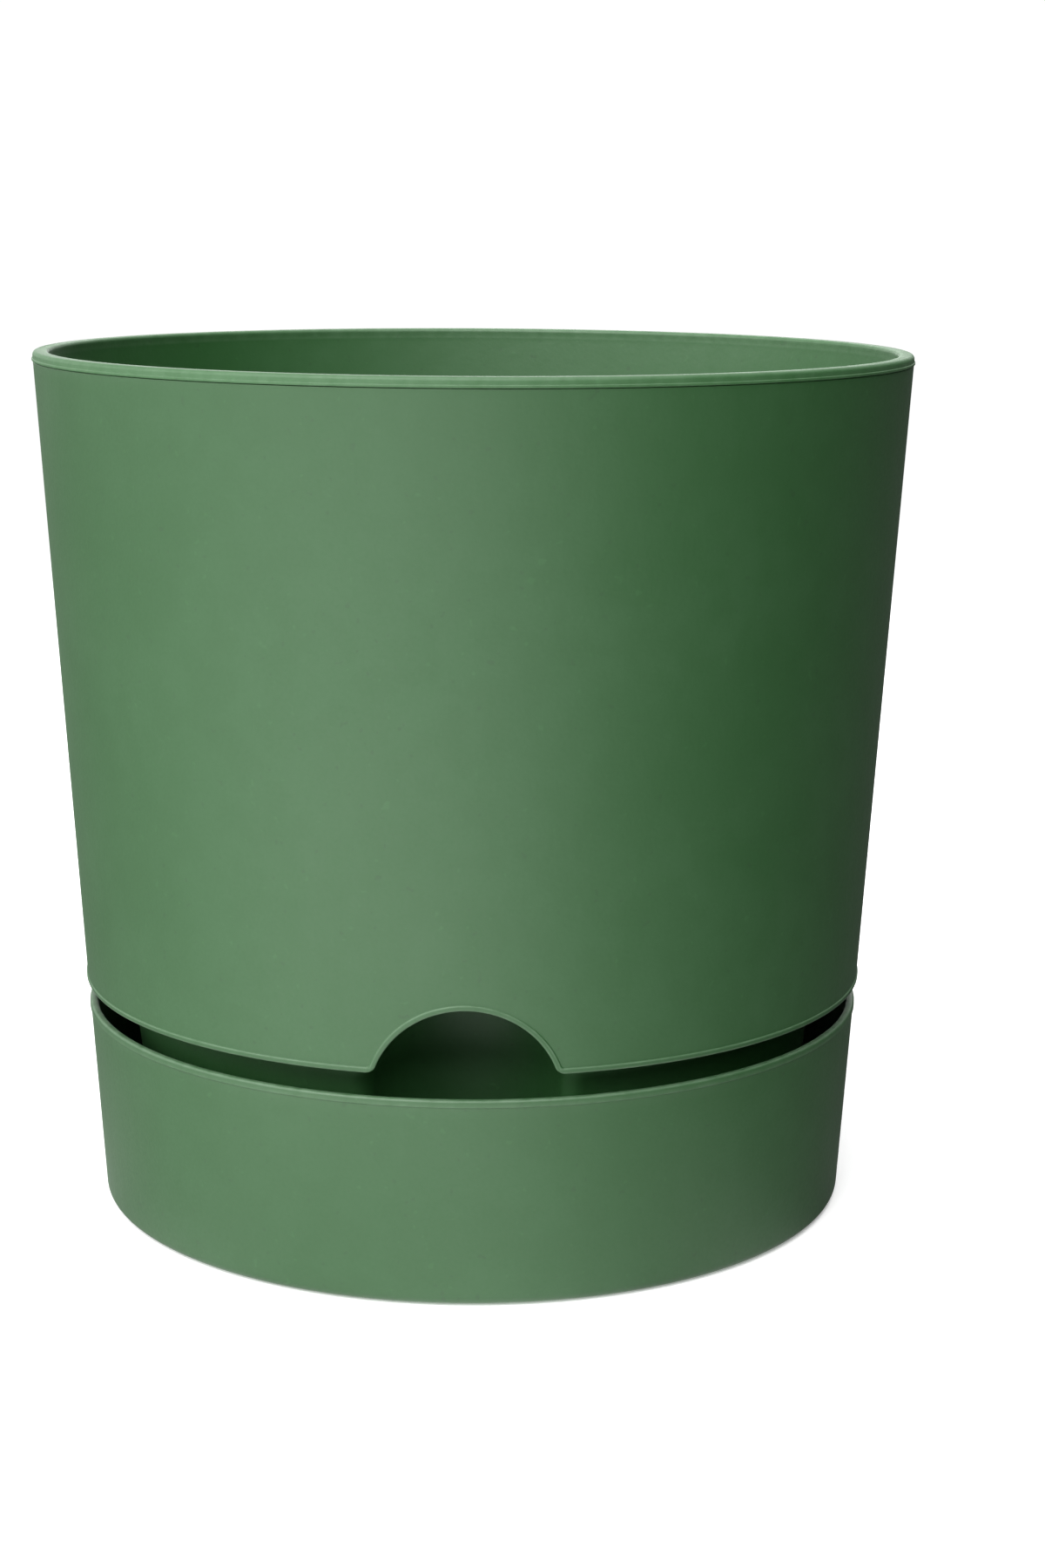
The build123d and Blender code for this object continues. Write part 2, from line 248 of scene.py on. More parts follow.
def make_shell():
    front, back = shell_columns()
    strip = [(2.4, 0.0), (2.1, 0.0), (1.9, 0.0), (BEAD_W + 0.16, 0.0), (BEAD_W + 0.08, 0.02), (BEAD_W, 0.35 * BEAD_H), (BEAD_W - 0.08, 0.75 * BEAD_H),
             (BEAD_W - 0.17, 0.96 * BEAD_H), (BEAD_W - 0.3, BEAD_H), (1.0, BEAD_H), (0.8, BEAD_H)]
    strip += [(0.7 - 0.7 * math.sin(t), BEAD_H - 0.7 + 0.7 * math.cos(t)) for t in np.linspace(0, math.pi / 2, 9)]
    strip += [(0.0, -1.1)]
    strip += [(0.5 - 0.5 * math.cos(t), -1.8 - 0.5 * math.sin(t)) for t in np.linspace(0, math.pi / 2, 6)]
    strip += [(1.2, -SHELL_T), (2.4, -SHELL_T)]
    shoulder = LIP_Z - SEAM
    tongue_out = RIM_R - LIP_FLANGE_T - 0.1
    tongue_in = tongue_out - TONGUE_T
    top = rounded([
        (shell_r(shoulder - 3), shoulder - 3, 0), (shell_r(shoulder), shoulder, 0.3), (tongue_out, shoulder, 0),
        (tongue_out, shoulder + TONGUE_H, 0.3), (tongue_in, shoulder + TONGUE_H, 0.3), (tongue_in, shoulder, 0),
        (shell_r(shoulder - 1.2) - SHELL_T, shoulder - 1.2, 0), (shell_r(shoulder - 3) - SHELL_T, shoulder - 3, 0)])
    hook_top = LIP_Z - 6.0
    hook_r = shell_r(hook_top) - SHELL_T + 1.0
    up = 1 - (1 - np.linspace(0, 1, 44)) ** 1.25
    down_in = [0.0, 0.2, 0.4, 0.6, 0.8]
    cols = []
    kinds = [("x", c) for c in front] + [("a", t) for t in back]
    for kind, c in kinds:
        pts = []

        def place(x, z, h, th=None):
            r = shell_r(z) + h
            if th is None:
                w = min(1.0, max(0.0, (60 - abs(x)) / 22.0))
                th = w * math.asin(x / r) + (1 - w) * math.asin(x / shell_r(SKIRT_Z))
            return (r * math.sin(th), -r * math.cos(th), z), th

        low = []
        for d, h in strip:
            if kind == "x":
                x, z, nx, nz = c
                p, th = place(x + nx * d, z + nz * d, h)
            else:
                p, th = place(0, SKIRT_Z + d, h, c)
            low.append((p, th))
        th_out, z_out = low[0][1], low[0][0][2]
        th_in, z_in = low[-1][1], low[-1][0][2]
        for t in up[:-1][::-1]:
            z = z_out + (shoulder - 3 - z_out) * t
            pts.append(place(0, z, 0, th_out)[0]) if t > 0 else None
        pts += [p for p, _ in low]
        pocket = min(abs((math.degrees(th_in) - 90 - k * 60 - 30 + 180) % 360 - 180) for k in range(6)) < math.degrees(6.4 / RIM_R)
        z_list = [z_in + (hook_top - 6.1 - z_in) * t for t in (0.1, 0.25, 0.4, 0.55, 0.7, 0.85, 1.0)]
        for z in z_list:
            pts.append(place(0, z, -SHELL_T, th_in)[0])
        for z, inside in ((hook_top - 6.0, 1), (hook_top + 0.1, 1), (hook_top + 0.11, 0)):
            r = hook_r + 0.2 if (pocket and inside) else shell_r(z) - SHELL_T
            pts.append((r * math.sin(th_in), -r * math.cos(th_in), z))
        n = len(top)
        for i, (r, z) in enumerate(top[::-1]):
            w = i / (n - 1)
            th = th_in + (th_out - th_in) * w
            pts.append((r * math.sin(th), -r * math.cos(th), z))
        cols.append(pts)
    rows = len(cols[0])
    verts = [cols[j][i] for i in range(rows) for j in range(len(cols))]
    return make_object("outer_shell_visual", verts, loops_to_faces(rows, len(cols), True))


# ------------------------------------------------------------------ planting pot
def bay_section(alpha, z0, r_of_z, bay_r, corner, rho_out, n_arc, n_fil, n_out):
    """Points from the bay's deepest line out to the wall round it, in the half plane at alpha about the bay's axis, whose centre is at height z0."""
    ca, sa = math.cos(alpha), math.sin(alpha)

    def wall(rho):
        r = r_of_z(z0 + rho * sa)
        return -math.sqrt(r * r - (rho * ca) ** 2)

    def centre(rho):
        s = (wall(rho + 0.01) - wall(rho - 0.01)) / 0.02
        n = np.array([-s, 1.0]) / math.hypot(s, 1)
        return np.array([rho, wall(rho)]) + corner * n

    target = bay_r + corner
    lo, hi = 2.0, rho_out
    for _ in range(50):
        mid = (lo + hi) / 2
        q = centre(mid)
        if math.hypot(q[0], q[1] - BAY_Y) < target:
            lo = mid
        else:
            hi = mid
    rho_s = (lo + hi) / 2
    q = centre(rho_s)
    to = (q - np.array([0, BAY_Y])) / target
    beta = math.atan2(to[0], to[1])
    pts = [(bay_r * math.sin(b), BAY_Y + bay_r * math.cos(b)) for b in np.linspace(0, beta, n_arc)]
    s = np.array(pts[-1]) - q
    e = np.array([rho_s, wall(rho_s)]) - q
    a0, a1 = math.atan2(s[1], s[0]), math.atan2(e[1], e[0])
    while a1 - a0 > math.pi:
        a1 -= 2 * math.pi
    while a1 - a0 < -math.pi:
        a1 += 2 * math.pi
    pts += [tuple(q + corner * np.array([math.cos(t), math.sin(t)])) for t in np.linspace(a0, a1, n_fil + 1)[1:]]
    for t in np.linspace(0, 1, n_out + 1)[1:]:
        rho = rho_s + (rho_out - rho_s) * t ** 1.2
        pts.append((rho, wall(rho)))
    return [(rho * ca, y, z0 + rho * sa) for rho, y in pts]


FRAME_X = 46.0
N_ARC, N_FIL, N_OUT, N_ARCH, N_BACK = 22, 8, 14, 72, 238


def pot_surface(r_of_z, bay_r, corner, z_rows, z_top_rows):
    """Closed rows of points up one face of the pot's wall: rows below the bay's roof, then the extra grid of the roof, then rows above it."""
    rows = []
    for z in z_rows:
        half = bay_section(0.0, z, lambda _z, z=z: r_of_z(z), bay_r, corner, FRAME_X, N_ARC, N_FIL, N_OUT)
        left = [(-x, y, z) for x, y, _ in half[::-1]]
        front = left + half[1:]
        r = r_of_z(z)
        edge = math.asin(FRAME_X / r)
        back = [(r * math.sin(t), -r * math.cos(t), z) for t in np.linspace(edge, 2 * math.pi - edge, N_BACK)[1:-1]]
        rows.append(front + back)
    roof = []
    for i in range(1, N_ARCH):
        a = math.pi - math.pi * i / N_ARCH
        out = FRAME_X / (abs(math.cos(a)) + abs(math.sin(a)))
        roof.append(bay_section(a, BAY_TOP, r_of_z, bay_r, corner, out, N_ARC, N_FIL, N_OUT))
    arch = [roof[i][-1] for i in range(N_ARCH - 1)]
    top_row = rows[-1]
    n_half = N_ARC + N_FIL + N_OUT
    start = [top_row[0]] + arch + [top_row[2 * n_half - 2]] + top_row[2 * n_half - 1:]
    upper = []
    z1 = 150.0
    for t in np.linspace(0, 1, 26)[1:]:
        row = []
        for x, y, z in start:
            zz = z + (z1 - z) * t
            th = math.atan2(x, -y)
            r = r_of_z(zz)
            row.append((r * math.sin(th), -r * math.cos(th), zz))
        upper.append(row)
    angles = [math.atan2(x, -y) for x, y, _ in start]
    for z in z_top_rows:
        r = r_of_z(z)
        upper.append([(r * math.sin(t), -r * math.cos(t), z) for t in angles])
    return rows, roof, upper, angles


def make_pot():
    verts, faces = [], []

    def add_row(row):
        ids = list(range(len(verts), len(verts) + len(row)))
        verts.extend(row)
        return ids

    def stitch(a, b, flip=False):
        n = len(a)
        for j in range(n):
            k = (j + 1) % n
            faces.append([a[j], a[k], b[k], b[j]])

    def out_r(z):
        if z < SEAT_Z + 4.0:
            base = pot_r(SEAT_Z + 4.0) - 4.0
            return base + math.sqrt(max(0.0, 16.0 - (SEAT_Z + 4.0 - z) ** 2))
        return pot_r(z)

    def in_r(z):
        if z < FLOOR_TOP + 3.0:
            base = pot_r(FLOOR_TOP + 3.0) - POT_T - 3.0
            return base + math.sqrt(max(0.0, 9.0 - (FLOOR_TOP + 3.0 - z) ** 2))
        return pot_r(z) - POT_T

    def side(r_of_z, bay_r, corner, z_rows, z_top_rows):
        rows, roof, upper, angles = pot_surface(r_of_z, bay_r, corner, z_rows, z_top_rows)
        ids = [add_row(r) for r in rows]
        for a, b in zip(ids, ids[1:]):
            stitch(a, b)
        n_half = N_ARC + N_FIL + N_OUT
        top = ids[-1]
        pole = top[n_half - 1]
        left = [top[n_half - 1 - i] for i in range(n_half)]
        right = [top[n_half - 1 + i] for i in range(n_half)]
        previous = left
        grid = []
        for sec in roof:
            cur = [pole] + add_row(sec[1:])
            grid.append(cur)
            for i in range(n_half - 1):
                f = [previous[i], previous[i + 1], cur[i + 1], cur[i]]
                faces.append(f if i else [previous[0], previous[1], cur[1]])
            previous = cur
        for i in range(n_half - 1):
            faces.append([previous[i], previous[i + 1], right[i + 1], right[i]] if i else [previous[0], previous[1], right[1]])
        start = [left[-1]] + [g[-1] for g in grid] + [right[-1]] + top[2 * n_half - 1:]
        prev = start
        for row in upper:
            cur = add_row(row)
            stitch(prev, cur)
            prev = cur
        return ids[0], prev, angles

    z_low = [SEAT_Z + 4.0 - 4.0 * math.cos(t) for t in np.linspace(0, math.pi / 2, 7)]
    z_out = z_low + list(np.linspace(SEAT_Z + 4.0, BAY_TOP, 40)[1:])
    hook_top = LIP_Z - 6.0
    z_in_low = [FLOOR_TOP + 3.0 - 3.0 * math.cos(t) for t in np.linspace(0, math.pi / 2, 6)]
    z_in = z_in_low + list(np.linspace(FLOOR_TOP + 3.0, BAY_TOP, 40)[1:])
    top_out = list(np.linspace(150, hook_top - 5.2, 24)[1:])
    top_in = list(np.linspace(150, LIP_Z - 2.0, 30)[1:])
    out_low, out_top, ang_out = side(out_r, BAY_R, BAY_CORNER, z_out, top_out)
    in_low, in_top, ang_in = side(in_r, BAY_R + POT_T, BAY_CORNER_IN, z_in, top_in)
    # the hooks, the channel under the lip and the lip itself, as one profile from the outer face over to the inner one
    hook_r = shell_r(hook_top) - SHELL_T + 1.0
    half_w = math.degrees(6.0 / RIM_R)
    profile = [(None, hook_top - 5.0, 0), (hook_r, hook_top - 1.2, 1), (hook_r, hook_top, 1), (None, hook_top + 0.01, 0), (None, hook_top + 2.5, 0)]
    lip = rounded([
        (pot_r(TOTAL_H - LIP_TOP_T - 1), TOTAL_H - LIP_TOP_T - 1, 0), (pot_r(TOTAL_H - LIP_TOP_T), TOTAL_H - LIP_TOP_T, 0),
        (RIM_R - LIP_FLANGE_T, TOTAL_H - LIP_TOP_T, 0), (RIM_R - LIP_FLANGE_T, LIP_Z, 0.3),
        (RIM_R, LIP_Z, 0.3), (RIM_R, LIP_Z + 0.72, 0.22), (RIM_R - 0.26, LIP_Z + 0.84, 0.12),
        (RIM_R - 0.30, TOTAL_H, 1.15), (LIP_IN_R, TOTAL_H, 1.1),
        (LIP_IN_R, LIP_Z + 0.6, 0), (pot_r(LIP_Z - 1.0) - POT_T, LIP_Z - 1.0, 0)], steps=12)
    lip = densify(lip, 0.8)
    rows = []
    for r, z, hook in profile:
        row = []
        for t in ang_out:
            deg = math.degrees(t)
            near = min(abs((deg - 90 - k * 60 - 30 + 180) % 360 - 180) for k in range(6)) < half_w
            rr = r if (hook and near) else pot_r(z)
            row.append((rr * math.sin(t), -rr * math.cos(t), z))
        rows.append(row)
    m = len(lip)
    for i, (r, z) in enumerate(lip):
        w = i / (m - 1)
        row = []
        for a, b in zip(ang_out, ang_in):
            t = a + (((b - a) + math.pi) % (2 * math.pi) - math.pi) * w
            row.append((r * math.sin(t), -r * math.cos(t), z))
        rows.append(row)
    prev = out_top
    for row in rows:
        cur = add_row(row)
        stitch(prev, cur)
        prev = cur
    stitch(prev, in_top)
    faces.append(list(out_low)[::-1])
    faces.append(list(in_low))
    pot = make_object("inner_pot_visual", verts, faces)
    cutters = []
    for a in range(-60, 241, 20):
        if a in (0, 180) or -110 < (a if a < 180 else a - 360) < -65 or a in (-60, 240):
            continue
        c, s = math.cos(math.radians(a)), math.sin(math.radians(a))
        stadium = [(2.5 * math.cos(t), 20 + 2.5 * math.sin(t)) for t in np.linspace(0, math.pi, 13)] + [(2.5 * math.cos(t), 12 + 2.5 * math.sin(t)) for t in np.linspace(math.pi, 2 * math.pi, 13)]
        outline = [(-s * u, c * u, v) for u, v in stadium]
        cutters.append(prism(outline, np.array([c * 88, s * 88, 0]), np.array([c * 16, s * 16, 0])))
    stadium = [(2.5 * math.cos(t), 20 + 2.5 * math.sin(t)) for t in np.linspace(0, math.pi, 13)] + [(2.5 * math.cos(t), 12 + 2.5 * math.sin(t)) for t in np.linspace(math.pi, 2 * math.pi, 13)]
    cutters.append(prism([(u, 0, v) for u, v in stadium], np.array([0, BAY_Y + BAY_R - 4, 0]), np.array([0, 10, 0])))
    ring = [(4.0 * math.cos(t), 4.0 * math.sin(t), 0) for t in np.linspace(0, 2 * math.pi, 33)[:-1]]
    for rad, step in ((78, 45), (30, 90)):
        for a in range(0, 360, step):
            if rad == 78 and a == 270:
                continue
            c, s = math.cos(math.radians(a)), math.sin(math.radians(a))
            cutters.append(prism(ring, np.array([rad * c, rad * s, SEAT_Z - 3]), np.array([0, 0, 8])))
    apply_boolean(pot, joined("cutters", cutters), "DIFFERENCE")
    return pot


# ------------------------------------------------------------------ reservoir saucer
def make_saucer():
    rim_in = SAUCER_RIM_R - SAUCER_T
    zt = SAUCER_RIM_Z - SAUCER_LIP_H
    outline = rounded([
        (0, FOOT_H, 0), (FOOT_R - FOOT_H, FOOT_H, 0), (FOOT_R, 0, 0.4), (SAUCER_BASE_R, 0, 2.6),
        (saucer_r(zt), zt, 0), (SAUCER_RIM_R + 0.1, zt + 0.26, 0.14), (SAUCER_RIM_R + 0.1, SAUCER_RIM_Z, 0.8),
        (rim_in, SAUCER_RIM_Z, 1.1), (rim_in - 0.12, zt, 0), (SAUCER_BASE_R - SAUCER_T - 0.1, SAUCER_FLOOR, 4.0), (0, SAUCER_FLOOR, 0)], steps=10)
    outline = densify(outline, 3.0)
    ob = lathe("reservoir_saucer_visual", outline, 560)
    parts = []

    def box(x0, x1, z0, z1, w, ang, edge):
        """A rib or lug with its top edges eased."""
        sec = [(-w / 2, z0), (w / 2, z0), (w / 2, z1 - edge), (w / 2 - edge * 0.3, z1 - edge * 0.3), (w / 2 - edge, z1), (-w / 2 + edge, z1), (-w / 2 + edge * 0.3, z1 - edge * 0.3), (-w / 2, z1 - edge)]
        c, s = math.cos(ang), math.sin(ang)
        outline = [(-s * u, c * u, v) for u, v in sec]
        return prism(outline, np.array([c * x0, s * x0, 0]), np.array([c * (x1 - x0), s * (x1 - x0), 0]))

    lug_in = pot_r(13.0) + 0.5
    for i in range(8):
        a = math.radians(22.5 + 45 * i)
        parts.append(box(30, 92, SAUCER_FLOOR - 0.6, SEAT_Z, 2.4, a, 0.3))
        parts.append(box(lug_in, 100.5, SAUCER_FLOOR - 0.6, 13.0, 2.4, a, 0.5))
    apply_boolean(ob, joined("ribs", parts), "UNION")
    return ob


# ------------------------------------------------------------------ materials
def principled(name):
    mat = bpy.data.materials.new(name)
    mat.use_nodes = True
    nt = mat.node_tree
    nt.nodes.clear()
    out = nt.nodes.new("ShaderNodeOutputMaterial")
    sh = nt.nodes.new("ShaderNodeBsdfPrincipled")
    nt.links.new(sh.outputs["BSDF"], out.inputs["Surface"])
    return mat, nt, sh


def noise(nt, vec, scale, detail=3.0, rough=0.5, distortion=0.0):
    n = nt.nodes.new("ShaderNodeTexNoise")
    n.inputs["Scale"].default_value = scale
    n.inputs["Detail"].default_value = detail
    n.inputs["Roughness"].default_value = rough
    n.inputs["Distortion"].default_value = distortion
    nt.links.new(vec, n.inputs["Vector"])
    return n.outputs["Fac"]


def math_node(nt, op, a, b=None, c=None, clamp=False):
    m = nt.nodes.new("ShaderNodeMath")
    m.operation, m.use_clamp = op, clamp
    for i, v in enumerate((a, b, c)):
        if v is None:
            continue
        if isinstance(v, (int, float)):
            m.inputs[i].default_value = v
        else:
            nt.links.new(v, m.inputs[i])
    return m.outputs[0]


def remap(nt, v, a, b, c, d, kind="LINEAR"):
    m = nt.nodes.new("ShaderNodeMapRange")
    m.interpolation_type = kind
    for i, k in zip((1, 2, 3, 4), (a, b, c, d)):
        m.inputs[i].default_value = k
    nt.links.new(v, m.inputs[0])
    return m.outputs[0]


def mixed(nt, fac, a, b):
    m = nt.nodes.new("ShaderNodeMix")
    m.data_type = "RGBA"
    if isinstance(fac, (int, float)):
        m.inputs[0].default_value = fac
    else:
        nt.links.new(fac, m.inputs[0])
    for i, v in ((6, a), (7, b)):
        if isinstance(v, tuple):
            m.inputs[i].default_value = (*v, 1.0) if len(v) == 3 else v
        else:
            nt.links.new(v, m.inputs[i])
    return m.outputs[2]


def shell_edge_highlight(co):
    """Painted highlight along the rounded lower edge and on the outer step of the bead along the skirt and the notch,
    where the light catches them.
    """
    x, y, z = co.T
    r = np.hypot(x, y)
    h = r - shell_r(z)
    arc = np.arctan2(x, -y) * r
    front = (y < 0) & (np.abs(arc) < 60)
    below = z - SKIRT_Z
    ring = np.hypot(arc, z - NOTCH_Z) - NOTCH_R
    d = np.where(front & (np.abs(arc) < NOTCH_R + 8), np.minimum(np.where(np.abs(arc) > NOTCH_R, np.maximum(below, 0), 99), np.where(ring > -0.5, np.maximum(ring, 0), 99)), np.maximum(below, 0))
    step = np.exp(-((d - 1.45) / 0.18) ** 2)
    edge = np.exp(-(d / 0.45) ** 2)
    return np.where(h > -0.9, np.maximum(0.75 * step, edge), 0.0) * (d < 3)


def saucer_rim_highlight(co):
    """Painted highlight on the rounded top of the rim and on the fine step under it."""
    x, y, z = co.T
    r = np.hypot(x, y)
    zt = SAUCER_RIM_Z - SAUCER_LIP_H
    top = np.exp(-((SAUCER_RIM_Z - z) / 0.5) ** 2)
    step = 0.7 * np.exp(-((z - zt - 0.22) / 0.16) ** 2)
    return np.where(r > SAUCER_RIM_R - 3.5, np.maximum(top, step), 0.0)


def pot_lip_highlight(co):
    """Painted highlight on the lip: a paler painted sheen over its top where the light falls, brightest at its inner
    edge and along the fine bead at its lower edge.
    """
    x, y, z = co.T
    r = np.hypot(x, y)
    inner = np.exp(-((TOTAL_H - z) / 0.35) ** 2) * np.exp(-((r - LIP_IN_R - 0.9) / 1.3) ** 2)
    step = 0.6 * np.exp(-((z - LIP_Z - 0.74) / 0.2) ** 2) * (r > RIM_R - 0.6)
    lip_sheen = 0.35 * (r > LIP_IN_R - 0.3)
    return np.where(z > LIP_Z - 0.2, np.maximum(np.maximum(inner, step), lip_sheen), 0.0)


def moulded_plastic(name, base, light, dark, rough=0.55, specular=0.775, grain=1.0, seed=0.0, highlight_gain=0.9):
    """Moulded polypropylene: slow mottling, flow streaks up the wall, fine specks, an orange-peel skin, and painted
    highlights that lighten the colour along edges where the light catches them.
    """
    mat, nt, sh = principled(name)
    tc = nt.nodes.new("ShaderNodeTexCoord")
    shift = nt.nodes.new("ShaderNodeVectorMath")
    shift.operation = "ADD"
    shift.inputs[1].default_value = (seed, seed * 0.7, seed * 0.3)
    nt.links.new(tc.outputs["Object"], shift.inputs[0])
    vec = shift.outputs[0]
    stretch = nt.nodes.new("ShaderNodeVectorMath")
    stretch.operation = "MULTIPLY"
    stretch.inputs[1].default_value = (1.0, 1.0, 0.16)
    nt.links.new(vec, stretch.inputs[0])
    blotch = noise(nt, vec, 22.0, 4.0, 0.55, 0.4)
    streak = noise(nt, stretch.outputs[0], 160.0, 3.0, 0.6)
    fine = noise(nt, vec, 900.0, 2.0, 0.6)
    speck = noise(nt, vec, 420.0, 1.0, 0.4)
    c1 = mixed(nt, remap(nt, blotch, 0.35, 0.65, 0.0, 1.0, "SMOOTHSTEP"), dark, light)
    c2 = mixed(nt, remap(nt, streak, 0.3, 0.7, 0.15, 0.75), base, c1)
    c3 = mixed(nt, 0.85, base, c2)
    mottle = noise(nt, vec, 95.0, 3.0, 0.6, 0.3)
    c3 = mixed(nt, remap(nt, mottle, 0.40, 0.60, 0.0, 0.6, "SMOOTHSTEP"), c3, (base[0] * 0.80, base[1] * 0.94, base[2] * 0.78))
    dust = remap(nt, speck, 0.72, 0.78, 0.0, 0.15)
    c4 = mixed(nt, dust, c3, tuple(min(1.0, v * 1.9 + 0.02) for v in base))
    pit = remap(nt, speck, 0.28, 0.23, 0.0, 0.30)
    c5 = mixed(nt, pit, c4, tuple(v * 0.45 for v in base))
    # painted highlight: the per-vertex highlight weight lightens the base colour, broken up by noise
    highlight_attr = nt.nodes.new("ShaderNodeAttribute")
    highlight_attr.attribute_name = "edge_highlight"
    patchy = remap(nt, noise(nt, vec, 260.0, 3.0, 0.6), 0.3, 0.62, 0.35, 1.0)
    painted_highlight = math_node(nt, "MULTIPLY", highlight_attr.outputs["Fac"], math_node(nt, "MULTIPLY", patchy, highlight_gain))
    c6 = mixed(nt, painted_highlight, c5, tuple(v * 1.25 + 0.06 for v in base))
    nt.links.new(c6, sh.inputs["Base Color"])
    r1 = remap(nt, blotch, 0.3, 0.7, rough - 0.03, rough + 0.04)
    r2 = math_node(nt, "ADD", r1, remap(nt, fine, 0.3, 0.7, -0.035, 0.035))
    r3 = math_node(nt, "ADD", r2, remap(nt, streak, 0.3, 0.7, -0.015, 0.015), clamp=True)
    nt.links.new(r3, sh.inputs["Roughness"])
    sh.inputs["Specular IOR Level"].default_value = specular
    sh.inputs["IOR"].default_value = 1.49
    b1 = nt.nodes.new("ShaderNodeBump")
    b1.inputs["Strength"].default_value = 0.12 * grain
    b1.inputs["Distance"].default_value = 0.0002
    nt.links.new(fine, b1.inputs["Height"])
    b2 = nt.nodes.new("ShaderNodeBump")
    b2.inputs["Strength"].default_value = 0.10 * grain
    b2.inputs["Distance"].default_value = 0.0008
    nt.links.new(noise(nt, vec, 210.0, 2.0, 0.5), b2.inputs["Height"])
    nt.links.new(b1.outputs[0], b2.inputs["Normal"])
    nt.links.new(b2.outputs[0], sh.inputs["Normal"])
    return mat


def tinted(colour, r, g, b):
    return colour[0] * r, colour[1] * g, colour[2] * b


# soft light round the object: (azimuth, elevation, strength), azimuth 0 in front at -Y and negative to the left
SKY = ((-160, 10, 0.828), (-120, 10, 0.684), (-85, 10, 1.926), (-50, 10, 0.41), (-70, 45, 1.342), (-20, 46, 4.65, 0.745), (30, 45, 0.70), (-12, 84, 1.3), (168, 50, 0.75), (150, 56, 0.62), (180, 4, 2.5, 0.91))
# light bounced up by the white floor, by azimuth: close to the object, and further out
BOUNCE_NEAR = ((-105, 0.341), (-60, 0.437), (-20, 0.965), (20, 0.80), (60, 0.10), (110, 0.08))
BOUNCE_FAR = ((-150, 0.062), (-105, 0.111), (-60, 0.745), (-20, 1.97), (20, 0.379))
GREEN = (0.0116, 0.067, 0.0126)
green_shell = moulded_plastic("sage_plastic_shell", GREEN, tinted(GREEN, 1.22, 1.07, 1.24), tinted(GREEN, 0.78, 0.94, 0.76), seed=0.0)
# a lighter copy of the shell's green for the same plastic, which paints in light that the pot's lip, interior and
# recess get too little of
GREEN_POT_BRIGHTENED = (0.0145, 0.082, 0.0155)
green_pot_brightened = moulded_plastic("sage_plastic_pot_brightened", GREEN_POT_BRIGHTENED, tinted(GREEN_POT_BRIGHTENED, 1.22, 1.07, 1.24), tinted(GREEN_POT_BRIGHTENED, 0.78, 0.94, 0.76), specular=0.72, seed=1.7)
green_saucer = moulded_plastic("sage_plastic_saucer", GREEN, tinted(GREEN, 1.22, 1.07, 1.24), tinted(GREEN, 0.78, 0.94, 0.76), seed=3.1)
DARK = (0.020, 0.024, 0.021)
charcoal = moulded_plastic("charcoal_plastic_insert", DARK, tuple(v * 1.25 for v in DARK), tuple(v * 0.75 for v in DARK), rough=0.55, grain=1.4, seed=5.3)

# ------------------------------------------------------------------ pieces
shell = make_shell()
smooth(shell, 40)
mark_painted_highlights(shell, shell_edge_highlight)
shell.data.materials.append(green_shell)
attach(shell, "pot")
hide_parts("outer_shell")

pot = make_pot()
tidy(pot)
smooth(pot, 40)
mark_painted_highlights(pot, pot_lip_highlight)
pot.data.materials.clear()
pot.data.materials.append(green_pot_brightened)
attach(pot, "pot")
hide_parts("inner_pot")

saucer = make_saucer()
tidy(saucer)
smooth(saucer, 40)
mark_painted_highlights(saucer, saucer_rim_highlight)
saucer.data.materials.clear()
saucer.data.materials.append(green_saucer)
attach(saucer, "saucer")
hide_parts("reservoir_saucer")

def smooth_by_angle(degrees):
    """A node group that shades smooth, with sharp edges where the faces turn by more than an angle."""
    g = bpy.data.node_groups.new("smooth_by_angle", "GeometryNodeTree")
    g.interface.new_socket("Geometry", in_out="INPUT", socket_type="NodeSocketGeometry")
    g.interface.new_socket("Geometry", in_out="OUTPUT", socket_type="NodeSocketGeometry")
    gin, gout = g.nodes.new("NodeGroupInput"), g.nodes.new("NodeGroupOutput")
    faces = g.nodes.new("GeometryNodeSetShadeSmooth")
    faces.domain = "FACE"
    edges = g.nodes.new("GeometryNodeSetShadeSmooth")
    edges.domain = "EDGE"
    edges.inputs["Shade Smooth"].default_value = False
    angle = g.nodes.new("GeometryNodeInputMeshEdgeAngle")
    over = math_node(g, "GREATER_THAN", angle.outputs["Unsigned Angle"], math.radians(degrees))
    g.links.new(gin.outputs[0], faces.inputs["Geometry"])
    g.links.new(faces.outputs[0], edges.inputs["Geometry"])
    g.links.new(over, edges.inputs["Selection"])
    g.links.new(edges.outputs[0], gout.inputs[0])
    return g


smooth_nodes = smooth_by_angle(40)
for n in ("soil_platform", "wick_basket_left", "wick_basket_right", "wick_basket_rear"):
    ob = nodes[n]
    if not ob.data.materials:
        ob.data.materials.append(charcoal)
    for i in range(len(ob.material_slots)):
        ob.material_slots[i].material = charcoal
    weld = ob.modifiers.new("weld", "WELD")
    weld.merge_threshold = 2e-6
    if n != "soil_platform":
        ease = ob.modifiers.new("eased edges", "BEVEL")
        ease.limit_method, ease.angle_limit = "ANGLE", math.radians(60)
        ease.width, ease.segments, ease.use_clamp_overlap = 0.0002, 2, True
        close = ob.modifiers.new("close slivers", "WELD")
        close.merge_threshold = 3e-6
    by_angle = ob.modifiers.new("smooth by angle", "NODES")
    by_angle.node_group = smooth_nodes

# ------------------------------------------------------------------ floor, light and camera
bpy.ops.mesh.primitive_plane_add(size=1)
floor = bpy.context.object
floor.name = "studio_floor"
floor.scale = (40, 40, 1)
floor.location = (0, 0, -0.0003)
fmat, fnt, fsh = principled("floor_white")
fsh.inputs["Base Color"].default_value = (0.82, 0.82, 0.82, 1)
fsh.inputs["Roughness"].default_value = 0.9
fsh.inputs["Specular IOR Level"].default_value = 0.1
fsh.inputs["Emission Color"].default_value = (1, 1, 1, 1)
fsh.inputs["Emission Strength"].default_value = 0.22
